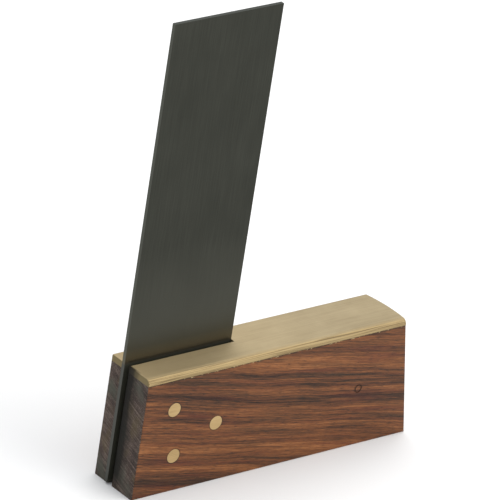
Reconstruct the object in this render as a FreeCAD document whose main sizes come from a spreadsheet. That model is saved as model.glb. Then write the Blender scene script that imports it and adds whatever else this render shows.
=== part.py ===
"""Carpenter's try square: hardwood stock with a brass face plate, a steel blade and brass rivets.

Millimetres. +Z runs up the blade, +X runs along the stock from the blade's end to the slanted end,
and +Y is the side that the blade is set towards. The square stands on the stock's base at Z = 0,
and the origin is the centre of its footprint. Sub-parts are drawn with X = 0 at the stock's square
end, and every body's Placement moves it to the common origin.
"""

import FreeCAD, Part
import os

import Sketcher
from FreeCAD import Placement, Rotation, Vector

SIZES = {
    # stock and face plate
    "stock_length": 109.2,
    "stock_thickness": 18.9,
    "total_height": 41.7,
    "plate_thickness": 2.2,
    "end_slant": 0.1755,
    "end_radius": 54.0,
    "end_axis_offset": 3.2,
    "square_end_easing": 0.5,
    "slanted_end_easing": 0.3,
    "base_easing": 0.25,
    "plate_front_facets": 1.6,
    "plate_back_round": 0.6,
    # blade and the slot that holds it
    "blade_thickness": 1.3,
    "blade_back": 3.35,
    "blade_proud": 0.8,
    "blade_inner_edge": 40.6,
    "blade_foot": 0.6,
    "blade_top": 156.0,
    "slot_front": 0.55,
    "slot_end": 40.75,
    # rivets through stock and blade
    "rivet_diameter": 4.76,
    "rivet_easing": 0.05,
    "upper_rivet_x": 11.85,
    "upper_rivet_z": 29.05,
    "inner_rivet_x": 29.35,
    "inner_rivet_z": 20.75,
    "lower_rivet_x": 14.2,
    "lower_rivet_z": 12.5,
    # pins that hold the face plate
    "pin_diameter": 2.0,
    "pin_length": 11.0,
    "arm_pin_x": 20.0,
    "front_arm_pin_y": 4.4,
    "back_arm_pin_y": 6.4,
    "middle_pin_x": 57.0,
    "end_pin_x": 89.0,
    # small round dent in the front cheek
    "dent_x": 86.1,
    "dent_z": 20.4,
    "dent_outer": 2.9,
    "dent_inner": 2.0,
    "dent_depth": 0.2,
    # how far cutting tools run past the material
    "overrun": 12.0,
}

RIVETS = ["upper_rivet", "inner_rivet", "lower_rivet"]

# each pin's centre in plan, as expressions of the sheet's aliases
FACE_PINS = [
    ("Sizes.arm_pin_x", "-Sizes.front_arm_pin_y"),
    ("Sizes.arm_pin_x", "Sizes.back_arm_pin_y"),
    ("Sizes.middle_pin_x", "0"),
    ("Sizes.end_pin_x", "0"),
]

# cosine and sine of the turns to the facets' two middle corners
FACET_TURNS = [("cos(30 deg)", "sin(30 deg)"), ("cos(60 deg)", "sin(60 deg)")]

WOOD_TOP = "Sizes.total_height - Sizes.plate_thickness"
TOUCH = 0.02


def make_sheet(doc):
    """The driving dimensions: a label and a named value on each row."""
    sheet = doc.addObject("Spreadsheet::Sheet", "Sizes")
    for row, (alias, value) in enumerate(SIZES.items(), start=1):
        sheet.set(f"A{row}", alias.replace("_", " "))
        sheet.set(f"B{row}", str(value))
        sheet.setAlias(f"B{row}", alias)
    doc.recompute()
    return sheet


def new_body(doc, label):
    """A body whose Placement centres the whole square on the origin."""
    body = doc.addObject("PartDesign::Body", label)
    body.Label = label
    body.setExpression("Placement.Base.x", "(Sizes.blade_proud - Sizes.stock_length) / 2")
    return body


def new_sketch(body, name, role, offset="0"):
    """A sketch on one of the body's own origin planes, moved along that plane's normal."""
    plane = next(item for item in body.Origin.OriginFeatures if item.Role == role)
    sketch = body.newObject("Sketcher::SketchObject", name)
    sketch.AttachmentSupport = [(plane, "")]
    sketch.MapMode = "FlatFace"
    sketch.setExpression("AttachmentOffset.Base.z", offset)
    return sketch


def constrain(sketch, expression, kind, *targets):
    """Add a driving dimension and bind it to an expression of the sheet."""
    value = abs(sketch.evalExpression(expression))
    index = sketch.addConstraint(Sketcher.Constraint(kind, *targets, float(value)))
    sketch.setExpression(f"Constraints[{index}]", expression)


def locate(sketch, point, x, z):
    """Dimension a point (geometry, vertex) from the sketch's origin along both axes."""
    for kind, expression in (("DistanceX", x), ("DistanceY", z)):
        value = float(sketch.evalExpression(expression))
        index = sketch.addConstraint(Sketcher.Constraint(kind, -1, 1, *point, value))
        sketch.setExpression(f"Constraints[{index}]", expression)


def rectangle(sketch, x_low, x_high, z_low, z_high):
    """A rectangle between four coordinates, each an expression of the sheet."""
    low_x, high_x, low_z, high_z = (
        float(sketch.evalExpression(text)) for text in (x_low, x_high, z_low, z_high)
    )
    corners = [(low_x, low_z), (high_x, low_z), (high_x, high_z), (low_x, high_z)]
    for start, end in zip(corners, corners[1:] + corners[:1]):
        sketch.addGeometry(Part.LineSegment(Vector(*start, 0), Vector(*end, 0)))
    for side in range(4):
        sketch.addConstraint(Sketcher.Constraint("Coincident", side, 2, (side + 1) % 4, 1))
    for side, kind in enumerate(["Horizontal", "Vertical", "Horizontal", "Vertical"]):
        sketch.addConstraint(Sketcher.Constraint(kind, side))
    locate(sketch, (0, 1), x_low, z_low)
    locate(sketch, (2, 1), x_high, z_high)


def circle(sketch, x, z, diameter):
    """A circle located from the sketch's origin."""
    centre = Vector(float(sketch.evalExpression(x)), float(sketch.evalExpression(z)), 0)
    radius = float(sketch.evalExpression(diameter)) / 2
    index = sketch.addGeometry(Part.Circle(centre, Vector(0, 0, 1), radius))
    locate(sketch, (index, 3), x, z)
    constrain(sketch, diameter, "Diameter", index)


def polygon(sketch, corners):
    """Closed outline through the corners, each given as two expressions."""
    first = sketch.GeometryCount
    spots = [Vector(*(float(sketch.evalExpression(part)) for part in pair), 0) for pair in corners]
    for start, end in zip(spots, spots[1:] + spots[:1]):
        sketch.addGeometry(Part.LineSegment(start, end))
    for number, (across, up) in enumerate(corners):
        before = first + (number - 1) % len(corners)
        sketch.addConstraint(Sketcher.Constraint("Coincident", before, 2, first + number, 1))
        locate(sketch, (first + number, 1), across, up)


def plan_outline(sketch, length):
    """Plan of the stock: straight sides, and a far end rounded to a large radius."""
    half = "Sizes.stock_thickness / 2"
    half_y = sketch.evalExpression(half)
    left = -sketch.evalExpression("Sizes.overrun")
    radius = sketch.evalExpression("Sizes.end_radius")
    centre_y = -sketch.evalExpression("Sizes.end_axis_offset")
    centre_x = sketch.evalExpression(length) - radius
    far = [centre_x + (radius**2 - (y - centre_y) ** 2) ** 0.5 for y in (-half_y, half_y)]
    tip = Vector(centre_x + radius, centre_y, 0)
    front_left = Vector(left, -half_y, 0)
    front_far = Vector(far[0], -half_y, 0)
    back_far = Vector(far[1], half_y, 0)
    back_left = Vector(left, half_y, 0)
    sketch.addGeometry(Part.LineSegment(front_left, front_far))
    sketch.addGeometry(Part.Arc(front_far, tip, back_far))
    sketch.addGeometry(Part.LineSegment(back_far, back_left))
    sketch.addGeometry(Part.LineSegment(back_left, front_left))
    joints = [(0, 2, 1, 1), (1, 2, 2, 1), (2, 2, 3, 1), (3, 2, 0, 1)]
    for joint in joints:
        sketch.addConstraint(Sketcher.Constraint("Coincident", *joint))
    for side, kind in ((0, "Horizontal"), (2, "Horizontal"), (3, "Vertical")):
        sketch.addConstraint(Sketcher.Constraint(kind, side))
    locate(sketch, (3, 1), "-Sizes.overrun", half)
    locate(sketch, (1, 3), f"{length} - Sizes.end_radius", "-Sizes.end_axis_offset")
    constrain(sketch, "Sizes.stock_thickness", "DistanceY", 0, 1, 2, 2)
    constrain(sketch, "Sizes.end_radius", "Radius", 1)


def feature(body, kind, name, profile):
    """A sketch-based feature of the body."""
    item = body.newObject(f"PartDesign::{kind}", name)
    item.Profile = profile
    return item


def cut_through(body, name, sketch):
    """Cut a sketch right through the body, both ways, and make sure that it cuts."""
    before = body.Shape.Volume
    cut = feature(body, "Pocket", name, sketch)
    cut.Midplane = True
    cut.Type = "ThroughAll"
    body.Document.recompute()
    if body.Shape.Volume > before - TOUCH:
        raise RuntimeError(f"{name} in {body.Label} cuts nothing")


def edges_where(shape, test):
    """Names of the edges whose every sampled point passes the test."""
    names = []
    for number, edge in enumerate(shape.Edges, start=1):
        first, last = edge.ParameterRange
        points = [edge.valueAt(first + (last - first) * step / 4) for step in range(5)]
        if all(test(point) for point in points):
            names.append(f"Edge{number}")
    return names


def round_edges(body, name, radius, test):
    """Fillet the edges that pass the test."""
    base = body.Tip
    fillet = body.newObject("PartDesign::Fillet", name)
    names = edges_where(base.Shape, test)
    if not names:
        raise RuntimeError(f"{name} in {body.Label} finds no edges")
    fillet.Base = (base, names)
    fillet.setExpression("Radius", radius)
    body.Document.recompute()
    if fillet.Shape.isNull():
        raise RuntimeError(f"{name} in {body.Label} doesn't fit")


def slanted_block(body, bottom, height):
    """A length of the stock's section: square at X = 0, slanted and rounded at the far end."""
    plan = new_sketch(body, "Plan", "XY_Plane", bottom)
    plan_outline(plan, f"Sizes.stock_length - Sizes.end_slant * ({bottom})")
    body.Document.recompute()
    block = feature(body, "Pad", "Block", plan)
    block.UseCustomVector = True
    block.Direction = Vector(-SIZES["end_slant"], 0, 1)
    block.setExpression("Direction.x", "-Sizes.end_slant")
    block.AlongSketchNormal = True
    block.setExpression("Length", height)
    body.Document.recompute()
    waste = new_sketch(body, "Waste", "XZ_Plane")
    rectangle(waste, "-3 * Sizes.overrun", "0", "-Sizes.overrun", "Sizes.blade_top")
    body.Document.recompute()
    cut_through(body, "SquareEnd", waste)


def cut_slot(body):
    """The slot for the blade: open at the square end and right through from top to bottom."""
    plan = new_sketch(body, "SlotPlan", "XY_Plane")
    rectangle(plan, "-Sizes.overrun", "Sizes.slot_end", "Sizes.slot_front", "Sizes.blade_back")
    body.Document.recompute()
    cut_through(body, "Slot", plan)


def drill_rivet_holes(body):
    """Three cross holes, a close fit on the rivets."""
    side = new_sketch(body, "RivetHoles", "XZ_Plane")
    for rivet in RIVETS:
        circle(side, f"Sizes.{rivet}_x", f"Sizes.{rivet}_z", "Sizes.rivet_diameter")
    body.Document.recompute()
    cut_through(body, "RivetHole", side)


def near(value, target):
    """Whether two coordinates are the same place."""
    return abs(value - target) < TOUCH


def ease_ends(body, test):
    """Round the edges of both end faces that pass the test, the square end's a little more."""
    last_pin = SIZES["end_pin_x"]
    round_edges(
        body, "SquareEndEasing", "Sizes.square_end_easing",
        lambda point: near(point.x, 0) and test(point),
    )
    round_edges(
        body, "SlantedEndEasing", "Sizes.slanted_end_easing",
        lambda point: point.x > last_pin and test(point),
    )


def make_stock(doc):
    """Hardwood stock with the blade's slot, the rivet holes and the pin holes."""
    body = new_body(doc, "stock")
    slanted_block(body, "0", WOOD_TOP)
    drill_rivet_holes(body)
    drill_pin_holes(body)
    press_dent(body)
    bevel_base(body)
    half = SIZES["stock_thickness"] / 2
    ease_ends(body, lambda point: near(abs(point.y), half))
    cut_slot(body)
    return body


def drill_pin_holes(body):
    """Blind holes in the top of the stock for the face plate's pins."""
    plan = new_sketch(body, "PinHoles", "XY_Plane", WOOD_TOP)
    for x, y in FACE_PINS:
        circle(plan, x, y, "Sizes.pin_diameter")
    body.Document.recompute()
    before = body.Shape.Volume
    holes = feature(body, "Pocket", "PinHole", plan)
    holes.setExpression("Length", "Sizes.pin_length - Sizes.plate_thickness")
    body.Document.recompute()
    if body.Shape.Volume > before - TOUCH:
        raise RuntimeError("the pin holes cut nothing")


def bevel_base(body):
    """Small bevels planed along both long edges of the base."""
    section = new_sketch(body, "BaseSection", "YZ_Plane")
    for side in (-1, 1):
        outer = f"{side} * Sizes.stock_thickness / 2"
        inner = f"{side} * (Sizes.stock_thickness / 2 - Sizes.base_easing)"
        polygon(section, [(outer, "0"), (outer, "Sizes.base_easing"), (inner, "0")])
    body.Document.recompute()
    cut_through(body, "BaseBevels", section)


def press_dent(body):
    """A small plain ring pressed into the front cheek."""
    side = new_sketch(body, "DentRing", "XZ_Plane", "Sizes.stock_thickness / 2")
    for diameter in ("Sizes.dent_outer", "Sizes.dent_inner"):
        circle(side, "Sizes.dent_x", "Sizes.dent_z", diameter)
    body.Document.recompute()
    before = body.Shape.Volume
    dent = feature(body, "Pocket", "Dent", side)
    dent.setExpression("Length", "Sizes.dent_depth")
    body.Document.recompute()
    if body.Shape.Volume > before - TOUCH:
        raise RuntimeError("the dent cuts nothing")


def file_facets(body):
    """Three long facets filed on the front arris, their corners on an arc of the stated radius."""
    section = new_sketch(body, "FacetSection", "YZ_Plane")
    size = "Sizes.plate_front_facets"
    arc_y = f"{size} - Sizes.stock_thickness / 2"
    arc_z = f"Sizes.total_height - {size}"
    corners = [(f"{arc_y} - {size}", arc_z)]
    corners += [(f"{arc_y} - {size} * {c}", f"{arc_z} + {size} * {s}") for c, s in FACET_TURNS]
    corners += [(arc_y, "Sizes.total_height"), (arc_y, "Sizes.total_height + Sizes.overrun")]
    corners += [("-Sizes.stock_thickness", "Sizes.total_height + Sizes.overrun")]
    corners += [("-Sizes.stock_thickness", arc_z)]
    polygon(section, corners)
    body.Document.recompute()
    cut_through(body, "Facets", section)


def make_face_plate(doc):
    """Brass plate on top of the stock, forked round the blade, its front arris filed in facets."""
    body = new_body(doc, "face_plate")
    slanted_block(body, WOOD_TOP, "Sizes.plate_thickness")
    file_facets(body)
    half = SIZES["stock_thickness"] / 2
    top = SIZES["total_height"]
    above_bottom = top - SIZES["plate_thickness"] + TOUCH
    round_edges(
        body, "BackRound", "Sizes.plate_back_round",
        lambda point: near(point.z, top) and near(point.y, half),
    )
    ease_ends(
        body,
        lambda point: near(point.z, top) or near(point.x, 0) and point.z > above_bottom,
    )
    cut_slot(body)
    plan = new_sketch(body, "PinHoles", "XY_Plane")
    for x, y in FACE_PINS:
        circle(plan, x, y, "Sizes.pin_diameter")
    doc.recompute()
    cut_through(body, "PinHole", plan)
    return body


def make_blade(doc):
    """Parallel steel blade, set against the back of its slot and proud of the square end."""
    body = new_body(doc, "blade")
    side = new_sketch(body, "BladeSide", "XZ_Plane", "-Sizes.blade_back")
    rectangle(
        side, "-Sizes.blade_proud", "Sizes.blade_inner_edge", "Sizes.blade_foot", "Sizes.blade_top"
    )
    doc.recompute()
    plate = feature(body, "Pad", "Plate", side)
    plate.setExpression("Length", "Sizes.blade_thickness")
    doc.recompute()
    drill_rivet_holes(body)
    return body


def make_blade_rivets(doc):
    """Three brass rivets from cheek to cheek, peened flush, with their rims eased."""
    body = new_body(doc, "blade_rivets")
    body.AllowCompound = True
    side = new_sketch(body, "Section", "XZ_Plane")
    for rivet in RIVETS:
        circle(side, f"Sizes.{rivet}_x", f"Sizes.{rivet}_z", "Sizes.rivet_diameter")
    doc.recompute()
    shanks = feature(body, "Pad", "Shanks", side)
    shanks.Midplane = True
    shanks.setExpression("Length", "Sizes.stock_thickness")
    doc.recompute()
    half = SIZES["stock_thickness"] / 2
    rims = body.newObject("PartDesign::Chamfer", "Rims")
    rims.Base = (shanks, edges_where(shanks.Shape, lambda point: near(abs(point.y), half)))
    rims.setExpression("Size", "Sizes.rivet_easing")
    doc.recompute()
    return body


def make_face_pins(doc):
    """Four brass pins from the face plate's surface down into the stock, filed flush."""
    body = new_body(doc, "face_pins")
    body.AllowCompound = True
    plan = new_sketch(body, "Section", "XY_Plane", "Sizes.total_height - Sizes.pin_length")
    for x, y in FACE_PINS:
        circle(plan, x, y, "Sizes.pin_diameter")
    doc.recompute()
    shanks = feature(body, "Pad", "Shanks", plan)
    shanks.setExpression("Length", "Sizes.pin_length")
    doc.recompute()
    return body


def check_document(doc, bodies):
    """Stop if any object failed to compute or any sub-part hasn't its valid solids."""
    solids = {"blade_rivets": len(RIVETS), "face_pins": len(FACE_PINS)}
    failed = [item.Label for item in doc.Objects if {"Invalid", "Error"} & set(item.State)]
    if failed:
        raise RuntimeError(f"failed objects: {failed}")
    for body in bodies:
        shape = body.Shape
        expected = solids.get(body.Label, 1)
        if shape.isNull() or not shape.isValid() or len(shape.Solids) != expected:
            raise RuntimeError(f"bad shape: {body.Label}")


def main():
    doc = FreeCAD.newDocument("try_square")
    make_sheet(doc)
    bodies = [make_stock(doc), make_face_plate(doc), make_blade(doc)]
    bodies += [make_blade_rivets(doc), make_face_pins(doc)]
    doc.recompute()
    check_document(doc, bodies)
    os.makedirs("parts", exist_ok=True)
    for body in bodies:
        body.Shape.exportStep(f"parts/{body.Label}.step")
        box = body.Shape.BoundBox
        print(f"{body.Label}: {box.XLength:.2f} x {box.YLength:.2f} x {box.ZLength:.2f} mm")


main()
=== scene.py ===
"""Looks of the carpenter's try square: camera, light, floor and the materials of its ten pieces.

Metres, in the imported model's frame: +Z runs up the blade, +X along the stock from the blade's end
to the slanted end, and +Y is the side that the blade is set towards. Lengths inside a material are
millimetres from the stock's lowest corner at its square end.
"""

import math

import bpy
from mathutils import Matrix, Vector


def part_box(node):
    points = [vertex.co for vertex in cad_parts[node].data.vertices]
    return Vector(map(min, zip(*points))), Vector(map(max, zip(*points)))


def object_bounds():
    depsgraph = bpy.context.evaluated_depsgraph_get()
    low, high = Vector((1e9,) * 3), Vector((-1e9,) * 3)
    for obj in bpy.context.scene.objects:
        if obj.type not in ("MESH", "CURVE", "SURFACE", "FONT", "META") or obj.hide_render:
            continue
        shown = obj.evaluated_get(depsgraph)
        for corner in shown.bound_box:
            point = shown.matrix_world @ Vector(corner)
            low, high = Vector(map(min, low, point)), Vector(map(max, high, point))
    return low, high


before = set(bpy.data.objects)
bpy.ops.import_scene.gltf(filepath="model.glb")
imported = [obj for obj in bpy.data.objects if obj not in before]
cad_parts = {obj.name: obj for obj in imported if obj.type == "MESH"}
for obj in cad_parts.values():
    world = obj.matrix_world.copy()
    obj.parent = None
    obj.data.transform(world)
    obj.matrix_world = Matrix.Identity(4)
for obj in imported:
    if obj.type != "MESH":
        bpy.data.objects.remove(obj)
cad_low, cad_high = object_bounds()

MM = 0.001

# ---------------------------------------------------------------- camera and light

CAMERA_PLACE = Vector((-1.1968, -1.3055, 0.9417))
CAMERA_TURN = (1.98840416, -0.59267043, 0.5575535)
CAMERA_LENS = 464.3

FLOOR_SIZE = 24.0
FLOOR_COLOUR = (0.86, 0.86, 0.85)
SKY_COLOUR = (0.93, 0.95, 1.0)
SKY_STRENGTH = 0.75

# name: where the lamp hangs, the side of its square, its power in watts and its colour
LAMPS = {
    "key_lamp": ((1.6, -2.4, 1.9), 3.0, 70.0, (1.0, 0.98, 0.95)),
    "top_lamp": ((0.3, 0.8, 2.8), 3.0, 50.0, (1.0, 0.99, 0.97)),
}


def make_camera():
    """The camera, from a rotation vector that takes the frame to x right, y down, z ahead."""
    turn = Vector(CAMERA_TURN)
    looks = Matrix.Rotation(turn.length, 3, turn.normalized())
    flip = Matrix(((1, 0, 0), (0, -1, 0), (0, 0, -1)))
    camera = bpy.data.objects.new("camera", bpy.data.cameras.new("camera"))
    camera.data.lens = CAMERA_LENS
    camera.data.clip_end = 60.0
    camera.matrix_world = Matrix.Translation(CAMERA_PLACE) @ (looks.transposed() @ flip).to_4x4()
    bpy.context.scene.collection.objects.link(camera)
    bpy.context.scene.camera = camera


def make_lamps():
    """Square soft lamps, all aimed at the middle of the object."""
    middle = (cad_low + cad_high) / 2
    for name, (place, side, watts, colour) in LAMPS.items():
        lamp = bpy.data.objects.new(name, bpy.data.lights.new(name, "AREA"))
        lamp.data.size = side
        lamp.data.energy = watts
        lamp.data.color = colour
        lamp.location = place
        lamp.rotation_mode = "QUATERNION"
        lamp.rotation_quaternion = (middle - lamp.location).to_track_quat("-Z", "Y")
        lamp.visible_camera = False
        bpy.context.scene.collection.objects.link(lamp)


def make_surroundings():
    """A pale floor that runs to the horizon under an even, pale sky."""
    mesh = bpy.data.meshes.new("floor")
    half = FLOOR_SIZE / 2
    corners = [(-half, -half, 0), (half, -half, 0), (half, half, 0), (-half, half, 0)]
    mesh.from_pydata(corners, [], [(0, 1, 2, 3)])
    floor = bpy.data.objects.new("floor", mesh)
    bpy.context.scene.collection.objects.link(floor)
    look = Look("floor_paper")
    look.set("Base Color", (*FLOOR_COLOUR, 1))
    look.set("Roughness", 0.9)
    look.set("Specular IOR Level", 0.1)
    mesh.materials.append(look.material)
    world = bpy.data.worlds.new("sky")
    world.use_nodes = True
    background = world.node_tree.nodes["Background"]
    background.inputs["Color"].default_value = (*SKY_COLOUR, 1)
    background.inputs["Strength"].default_value = SKY_STRENGTH
    bpy.context.scene.world = world
    bpy.context.scene.view_settings.view_transform = "Standard"


# ---------------------------------------------------------------- building materials


def linear(red, green, blue):
    """A linear colour with alpha from 0-255 display values."""
    parts = (value / 255 for value in (red, green, blue))
    return (*(p / 12.92 if p <= 0.04045 else ((p + 0.055) / 1.055) ** 2.4 for p in parts), 1)


class Look:
    """A material's node tree. Its values are node sockets or plain numbers."""

    def __init__(self, name):
        self.material = bpy.data.materials.new(name)
        self.material.use_nodes = True
        self.tree = self.material.node_tree
        self.surface = self.tree.nodes["Principled BSDF"]

    def add(self, kind, **settings):
        """A node of that kind with its plain settings."""
        node = self.tree.nodes.new("ShaderNode" + kind)
        for name, value in settings.items():
            setattr(node, name, value)
        return node

    def feed(self, socket, value):
        """Link a socket to another, or give it a constant."""
        if isinstance(value, bpy.types.NodeSocket):
            self.tree.links.new(value, socket)
        else:
            socket.default_value = value

    def set(self, name, value):
        """Feed one of the shader's own sockets."""
        self.feed(self.surface.inputs[name], value)

    def math(self, operation, *values):
        """One sum of one, two or three numbers."""
        node = self.add("Math", operation=operation)
        for socket, value in zip(node.inputs, values):
            self.feed(socket, value)
        return node.outputs[0]

    def place(self, scale=(1, 1, 1), turn=(0, 0, 0), source=None, shift=(0, 0, 0)):
        """Coordinates in millimetres from the stock's lowest corner, turned and then scaled."""
        if source is None:
            source = self.millimetres()
        turned = self.add("Mapping", vector_type="POINT")
        self.feed(turned.inputs["Vector"], source)
        turned.inputs["Rotation"].default_value = turn
        scaled = self.add("Mapping", vector_type="POINT")
        self.feed(scaled.inputs["Vector"], turned.outputs[0])
        scaled.inputs["Scale"].default_value = scale
        scaled.inputs["Location"].default_value = shift
        return scaled.outputs[0]

    def millimetres(self):
        """The object's own coordinates, in millimetres from the stock's lowest corner."""
        if not hasattr(self, "_millimetres"):
            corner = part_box("stock")[0]
            mapped = self.add("Mapping", vector_type="POINT")
            self.feed(mapped.inputs["Vector"], self.add("TexCoord").outputs["Object"])
            mapped.inputs["Scale"].default_value = (1 / MM,) * 3
            mapped.inputs["Location"].default_value = tuple(-value / MM for value in corner)
            self._millimetres = mapped.outputs[0]
        return self._millimetres

    def split(self, vector):
        """The three parts of a vector."""
        node = self.add("SeparateXYZ")
        self.feed(node.inputs[0], vector)
        return node.outputs

    def noise(self, vector, detail=2.0, rough=0.5, warp=0.0):
        """Soft noise from 0 to 1, at one cycle per unit of the vector."""
        node = self.add("TexNoise")
        self.feed(node.inputs["Vector"], vector)
        node.inputs["Scale"].default_value = 1.0
        node.inputs["Detail"].default_value = detail
        node.inputs["Roughness"].default_value = rough
        node.inputs["Distortion"].default_value = warp
        return node.outputs["Fac"]

    def remap(self, value, low, high, to_low=0.0, to_high=1.0):
        """A value's range stretched to another, without going past its ends."""
        node = self.add("MapRange", clamp=True)
        for name, number in (
            ("Value", value), ("From Min", low), ("From Max", high),
            ("To Min", to_low), ("To Max", to_high),
        ):
            self.feed(node.inputs[name], number)
        return node.outputs[0]

    def ramp(self, value, stops, ease=False):
        """Colours along a value, as (position, colour) stops."""
        node = self.add("ValToRGB")
        node.color_ramp.interpolation = "EASE" if ease else "LINEAR"
        elements = node.color_ramp.elements
        while len(elements) < len(stops):
            elements.new(0.5)
        for element, (position, _) in zip(elements, stops):
            element.position = position
        for element, (position, colour) in zip(elements, stops):
            element.color = colour
        self.feed(node.inputs[0], value)
        return node.outputs[0]

    def mix(self, share, first, second):
        """Two colours mixed."""
        node = self.add("Mix", data_type="RGBA", blend_type="MIX")
        self.feed(node.inputs["Factor"], share)
        self.feed(node.inputs[6], first)
        self.feed(node.inputs[7], second)
        return node.outputs[2]

    def bump(self, height, depth_mm):
        """Small relief: a height from 0 to 1 that stands for that many millimetres."""
        node = self.add("Bump")
        node.inputs["Strength"].default_value = 1.0
        node.inputs["Distance"].default_value = depth_mm * MM
        self.feed(node.inputs["Height"], height)
        self.set("Normal", node.outputs[0])


# ---------------------------------------------------------------- rosewood

GRAIN_FALL = math.radians(12)
# millimetres from one dark growth band to the next, on average
BAND_PITCH = 6.0
BAND_SHIFT = (0, 0, 0.5)
# the slot's front edge, from the front cheek, and how far the painted shadow beside it reaches over
# the end grain
SLOT_FRONT = 10.0
SLOT_SHADOW_REACH = 5.5
# heights of the brass plate's underside and of the working face
PLATE_FOOT = (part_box("face_plate")[0][2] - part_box("stock")[0][2]) / MM
WORKING_FACE = (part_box("face_plate")[1][2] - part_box("stock")[0][2]) / MM
# the blade's inner edge, along the stock
BLADE_INNER = (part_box("blade")[1][0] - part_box("stock")[0][0]) / MM
# rivets and the pressed ring on the front cheek: millimetres along the stock and up it
RIVET_PLACES = ((11.85, 29.05), (29.35, 20.75), (14.2, 12.5))
RIVET_RADIUS = 2.38
DENT_PLACE = (86.1, 20.4)
DENT_RADIUS = 1.25

WOOD_COLOURS = (
    (0.02, linear(32, 22, 15)),
    (0.25, linear(61, 40, 26)),
    (0.48, linear(94, 57, 34)),
    (0.70, linear(118, 72, 40)),
    (0.98, linear(148, 96, 56)),
)
END_COLOURS = (
    (0.1, linear(50, 42, 38)),
    (0.5, linear(75, 63, 57)),
    (0.9, linear(108, 95, 86)),
)
# colour of the painted shadow beside the slot, on the end grain and on the plate's end
SLOT_SHADOW_COLOUR = linear(20, 19, 15)


def rosewood(name):
    """Streaky rosewood: long grain on the cheeks, dark sawn end grain on the ends."""
    look = Look(name)
    grain = grain_coordinates(look)
    bands = look.noise(look.place((0, 0, 1 / BAND_PITCH), source=grain, shift=BAND_SHIFT), detail=2.0)
    figure = look.remap(bands, 0.38, 0.60)

    patches = look.noise(look.place((0.02, 0.12, 0.2), source=grain), detail=2.0)
    streaks = look.noise(look.place((0.016, 0.6, 0.8), source=grain), detail=4.0, rough=0.65)
    lines = look.noise(look.place((0.045, 2.0, 2.6), source=grain), detail=3.0, rough=0.7)
    fibres = look.noise(look.place((0.25, 6.0, 6.0), source=grain), detail=2.0, rough=0.7)
    tone = look.math("MULTIPLY_ADD", figure, 0.55, 0.24)
    for layer, strength in ((patches, 0.4), (streaks, 1.25), (lines, 1.45), (fibres, 1.1)):
        tone = look.math("MULTIPLY_ADD", look.math("SUBTRACT", layer, 0.5), strength, tone)
    wood = look.ramp(tone, WOOD_COLOURS)

    tint = look.noise(look.place((0.03, 0.4, 0.5), source=grain, shift=(7, 3, 5)), detail=2.0)
    wood = look.mix(look.remap(tint, 0.52, 0.75, 0.0, 0.5), wood, linear(90, 42, 32))
    wood = look.mix(look.remap(tint, 0.46, 0.28, 0.0, 0.35), wood, linear(58, 48, 34))
    pores = look.noise(look.place((0.35, 5.0, 5.0), source=grain, shift=(1, 9, 4)), detail=1.0)
    pore = look.remap(pores, 0.33, 0.40, 1.0, 0.0)
    wood = look.mix(look.math("MULTIPLY", pore, 0.55), wood, linear(30, 21, 17))
    wood = cheek_marks(look, wood)

    end = end_grain(look, tone)
    normal = look.add("VectorMath", operation="DOT_PRODUCT")
    look.feed(normal.inputs[0], look.add("TexCoord").outputs["Normal"])
    normal.inputs[1].default_value = (math.cos(GRAIN_FALL), 0, -math.sin(GRAIN_FALL))
    wear = look.noise(look.place((0.6, 0.6, 0.5), shift=(5, 5, 1)), detail=2.0)
    turned = look.math("ABSOLUTE", normal.outputs["Value"])
    turned = look.math("MULTIPLY_ADD", look.math("SUBTRACT", wear, 0.5), 0.4, turned)
    facing = look.remap(turned, 0.45, 0.75)
    colour = look.mix(facing, wood, end["colour"])
    # painted shadow beside the slot's front edge, on the end grain
    colour = look.mix(slot_painted_shadow(look), colour, SLOT_SHADOW_COLOUR)
    look.set("Base Color", colour)

    rough = look.remap(streaks, 0.3, 0.7, 0.55, 0.44)
    look.set("Roughness", look.math("MAXIMUM", rough, look.math("MULTIPLY", facing, 0.8)))
    look.set("Specular IOR Level", 0.2)
    relief = look.math("MULTIPLY_ADD", pore, -1.0, fibres)
    relief = look.math("MULTIPLY", relief, look.math("SUBTRACT", 1.0, facing))
    relief = look.math("MULTIPLY_ADD", end["relief"], look.math("MULTIPLY", facing, 3.0), relief)
    look.bump(relief, 0.03)
    return look.material


def grain_coordinates(look):
    """Millimetres along the grain, through the thickness, and up the growth bands."""
    turned = look.place(turn=(0, -GRAIN_FALL, 0))
    along, through, across = look.split(turned)
    wander = look.noise(look.place((0.016, 0.04, 0.04), source=turned), detail=2.0)
    height = look.math("DIVIDE", across, math.cos(GRAIN_FALL))
    height = look.math("MULTIPLY_ADD", through, 0.3, height)
    height = look.math("MULTIPLY_ADD", look.math("SUBTRACT", wander, 0.5), 5.0, height)
    joined = look.add("CombineXYZ")
    for socket, value in zip(joined.inputs, (along, through, height)):
        look.feed(socket, value)
    return joined.outputs[0]


def end_grain(look, tone):
    """Sawn end grain: dark and dull, with fine slanting saw marks."""
    slant = (math.radians(-20), 0, 0)
    marks = look.noise(look.place((0.4, 0.1, 1.7), slant), detail=3.0, warp=0.3)
    fine = look.noise(look.place((1.5, 2.5, 2.5)), detail=2.0)
    cloud = look.noise(look.place((0.1, 0.25, 0.12)), detail=2.0)
    shade = 0.5
    for layer, strength in ((marks, 1.6), (fine, 1.0), (cloud, 0.7), (tone, 0.3)):
        shade = look.math("MULTIPLY_ADD", look.math("SUBTRACT", layer, 0.5), strength, shade)
    patch = look.noise(look.place((0.06, 0.16, 0.09), shift=(3, 8, 2)), detail=2.0)
    colour = look.ramp(shade, END_COLOURS)
    colour = look.mix(look.remap(patch, 0.52, 0.68, 0.0, 0.7), colour, linear(76, 78, 68))
    colour = look.mix(look.remap(patch, 0.46, 0.32, 0.0, 0.5), colour, linear(92, 80, 56))
    _, through, _ = look.split(look.millimetres())
    outer = look.remap(through, 18.1, 18.7, 0.0, 0.6)
    return {"colour": look.mix(outer, colour, linear(42, 39, 34)), "relief": marks}


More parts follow.
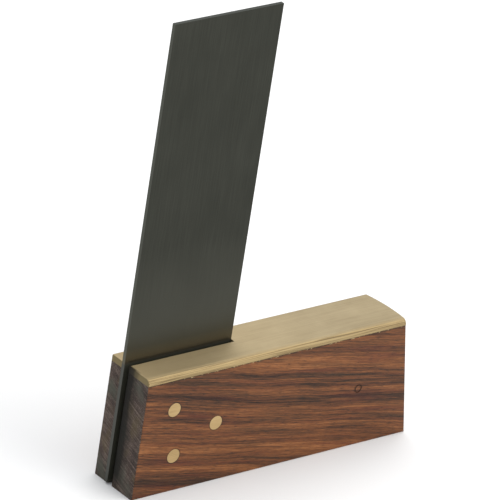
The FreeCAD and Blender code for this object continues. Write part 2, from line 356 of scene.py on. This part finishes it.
def ring(look, centre, radius, width):
    """A soft ring round an axis through the cheeks, 1 at its radius and 0 a width away."""
    along, _, up = look.split(look.millimetres())
    across = look.math("SUBTRACT", along, centre[0])
    above = look.math("SUBTRACT", up, centre[1])
    squares = look.math("MULTIPLY_ADD", across, across, look.math("MULTIPLY", above, above))
    reach = look.math("SQRT", squares)
    return look.remap(look.math("ABSOLUTE", look.math("SUBTRACT", reach, radius)), width, 0.0)


def cheek_marks(look, wood):
    """Grime round the rivets, the pressed ring's shading, and a ragged joint under the plate."""
    _, through, up = look.split(look.millimetres())
    on_front = look.remap(through, 2.0, 1.0)
    for place in RIVET_PLACES:
        grime = ring(look, place, RIVET_RADIUS, 0.45)
        wood = look.mix(look.math("MULTIPLY", grime, 0.7), wood, linear(40, 27, 18))
    pressed = look.math("MULTIPLY", ring(look, DENT_PLACE, DENT_RADIUS, 0.5), on_front)
    wood = look.mix(look.math("MULTIPLY", pressed, 0.75), wood, linear(44, 29, 20))

    ragged = look.noise(look.place((0.5, 0.5, 0.9), shift=(2, 5, 8)), detail=3.0)
    edge = look.math("MULTIPLY_ADD", look.math("SUBTRACT", ragged, 0.5), 1.5, up)
    gap = look.remap(edge, PLATE_FOOT - 0.5, PLATE_FOOT - 0.15)
    wood = look.mix(look.math("MULTIPLY", gap, 0.75), wood, linear(44, 31, 20))
    flecks = look.noise(look.place((1.1, 1.1, 2.0), shift=(4, 1, 6)), detail=1.0)
    burr = look.math("MULTIPLY", look.remap(flecks, 0.60, 0.66), look.remap(up, 39.05, 39.25))
    return look.mix(look.math("MULTIPLY", burr, 0.8), wood, linear(186, 164, 118))


def slot_painted_shadow(look):
    """Painted shadow beside the slot's front edge, as if cast by the proud blade, from 0 to 1, on the
    square end only.
    """
    along, through, up = look.split(look.millimetres())
    meander = look.noise(look.place((0.1, 0.1, 0.12)), detail=3.0)
    off = look.math("SUBTRACT", SLOT_FRONT, through)
    off = look.math("MULTIPLY_ADD", look.math("SUBTRACT", meander, 0.5), 2.4, off)
    beside = look.ramp(look.math("DIVIDE", off, SLOT_SHADOW_REACH), (
        (0.0, (0.97,) * 3 + (1,)), (0.36, (0.90,) * 3 + (1,)), (0.62, (0.50,) * 3 + (1,)),
        (1.0, (0.0,) * 3 + (1,)),
    ), ease=True)
    front_half = look.remap(off, -0.9, -0.6)
    at_end = look.math("MULTIPLY", look.remap(along, 0.9, 0.3), look.remap(up, 0.5, 5.0, 0.25, 1.0))
    return look.math("MULTIPLY", look.math("MULTIPLY", beside, front_half), at_end)


# ---------------------------------------------------------------- metals


# dark, middle and light
PLATE_COLOURS = (linear(138, 122, 90), linear(167, 151, 118), linear(188, 172, 138))
RIVET_COLOURS = (linear(150, 122, 78), linear(184, 156, 108), linear(206, 180, 132))
PLATE_ROUGHNESS = 0.6
RIVET_ROUGHNESS = 0.5


def brass(name, colours, rough, dull_ends=False):
    """Brass brushed lengthwise, with a thin uneven tarnish; its sawn ends are darker and dull."""
    look = Look(name)
    brushing = look.noise(look.place((0.05, 5.5, 5.5)), detail=3.0, rough=0.65)
    bands = look.noise(look.place((0.015, 0.9, 0.9)), detail=2.0)
    tarnish = look.noise(look.place((0.08, 0.12, 0.12)), detail=4.0, rough=0.6)
    tone = 0.5
    for layer, strength in ((brushing, 0.85), (bands, 0.2), (tarnish, 0.5)):
        tone = look.math("MULTIPLY_ADD", look.math("SUBTRACT", layer, 0.5), strength, tone)
    colour = look.ramp(tone, tuple(zip((0.1, 0.5, 0.9), colours)))
    roughness = look.remap(brushing, 0.3, 0.7, rough - 0.05, rough + 0.07)
    if dull_ends:
        facing, sideways, _ = look.split(look.add("TexCoord").outputs["Normal"])
        facet_line_noise = look.noise(look.place((0.03, 3.2, 3.2), shift=(6, 2, 9)), detail=3.0, rough=0.7)
        along, _, _ = look.split(look.millimetres())
        # painted light: the plate is lightened towards the blade, where the blade's dark reflection
        # falls
        painted_light_near_blade = look.remap(along, 1.8 * BLADE_INNER, 0.1 * BLADE_INNER, 0.0, 0.45)
        colour = look.mix(painted_light_near_blade, colour, linear(200, 177, 132))
        arris = look.remap(sideways, -0.15, -0.5)
        colour = look.mix(look.math("MULTIPLY", arris, 0.45), colour, linear(178, 150, 94))
        # painted shade: dark lines along the front faces stand for the shade between the arris facets
        painted_facet_lines = look.math("MULTIPLY", arris, look.remap(facet_line_noise, 0.46, 0.60))
        colour = look.mix(look.math("MULTIPLY", painted_facet_lines, 0.8), colour, linear(96, 78, 50))
        sawn = look.remap(look.math("ABSOLUTE", facing), 0.5, 0.9)
        colour = look.mix(look.math("MULTIPLY", sawn, 0.85), colour, linear(112, 99, 66))
        # painted shadow beside the slot's front edge, on the plate's sawn end
        colour = look.mix(slot_painted_shadow(look), colour, SLOT_SHADOW_COLOUR)
        roughness = look.math("MAXIMUM", roughness, look.math("MULTIPLY", sawn, 0.7))
    look.set("Base Color", colour)
    look.set("Metallic", 0.62)
    look.set("Roughness", roughness)
    look.bump(brushing, 0.006)
    return look.material


def blued_steel(name):
    """Blued spring steel, ground along its length, with painted light on its narrow edges."""
    look = Look(name)
    grinding = look.noise(look.place((2.6, 2.6, 0.07)), detail=3.0, rough=0.6)
    bands = look.noise(look.place((0.7, 0.7, 0.03)), detail=3.0)
    bloom = look.noise(look.place((0.07, 0.07, 0.05)), detail=3.0)
    tone = 0.5
    for layer, strength in ((grinding, 0.6), (bands, 0.15), (bloom, 0.35)):
        tone = look.math("MULTIPLY_ADD", look.math("SUBTRACT", layer, 0.5), strength, tone)
    steel = look.ramp(tone, (
        (0.1, linear(44, 45, 40)),
        (0.5, linear(57, 58, 52)),
        (0.9, linear(71, 72, 65)),
    ))
    _, facing, _ = look.split(look.add("TexCoord").outputs["Normal"])
    # painted light: the narrow edge faces are lightened as if catching the lamps
    edge = look.remap(look.math("ABSOLUTE", facing), 0.7, 0.3)
    steel = look.mix(look.math("MULTIPLY", edge, 0.5), steel, linear(88, 90, 82))
    _, _, up = look.split(look.millimetres())
    # painted light: the blade is lightened down towards the plate, most near its foot
    lower_painted_light = look.remap(up, 80.0, WORKING_FACE + 4.0, 0.0, 0.55)
    steel = look.mix(lower_painted_light, steel, linear(86, 86, 78))
    foot_painted_light = look.remap(up, WORKING_FACE + 5.0, WORKING_FACE, 0.0, 0.7)
    steel = look.mix(foot_painted_light, steel, linear(98, 92, 76))
    # painted shade: the blade is darkened, and made less metallic, where it sits inside the slot
    inside = look.remap(up, WORKING_FACE + 0.3, WORKING_FACE - 0.3)
    steel = look.mix(look.math("MULTIPLY", inside, 0.9), steel, linear(42, 44, 36))
    look.set("Base Color", steel)
    look.set("Metallic", look.remap(inside, 0.0, 1.0, 1.0, 0.15))
    look.set("Roughness", look.remap(grinding, 0.3, 0.7, 0.36, 0.48))
    look.bump(grinding, 0.004)
    return look.material


def dress(node, material):
    """Give a CAD node its material."""
    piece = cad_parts[node]
    piece.data.materials.clear()
    piece.data.materials.append(material)


def main():
    make_camera()
    make_lamps()
    make_surroundings()
    plate_brass = brass("face_brass", PLATE_COLOURS, PLATE_ROUGHNESS, dull_ends=True)
    rivet_brass = brass("rivet_brass", RIVET_COLOURS, RIVET_ROUGHNESS)
    dress("stock", rosewood("rosewood"))
    dress("face_plate", plate_brass)
    dress("blade", blued_steel("blade_steel"))
    dress("blade_rivets", rivet_brass)
    dress("face_pins", plate_brass)


main()
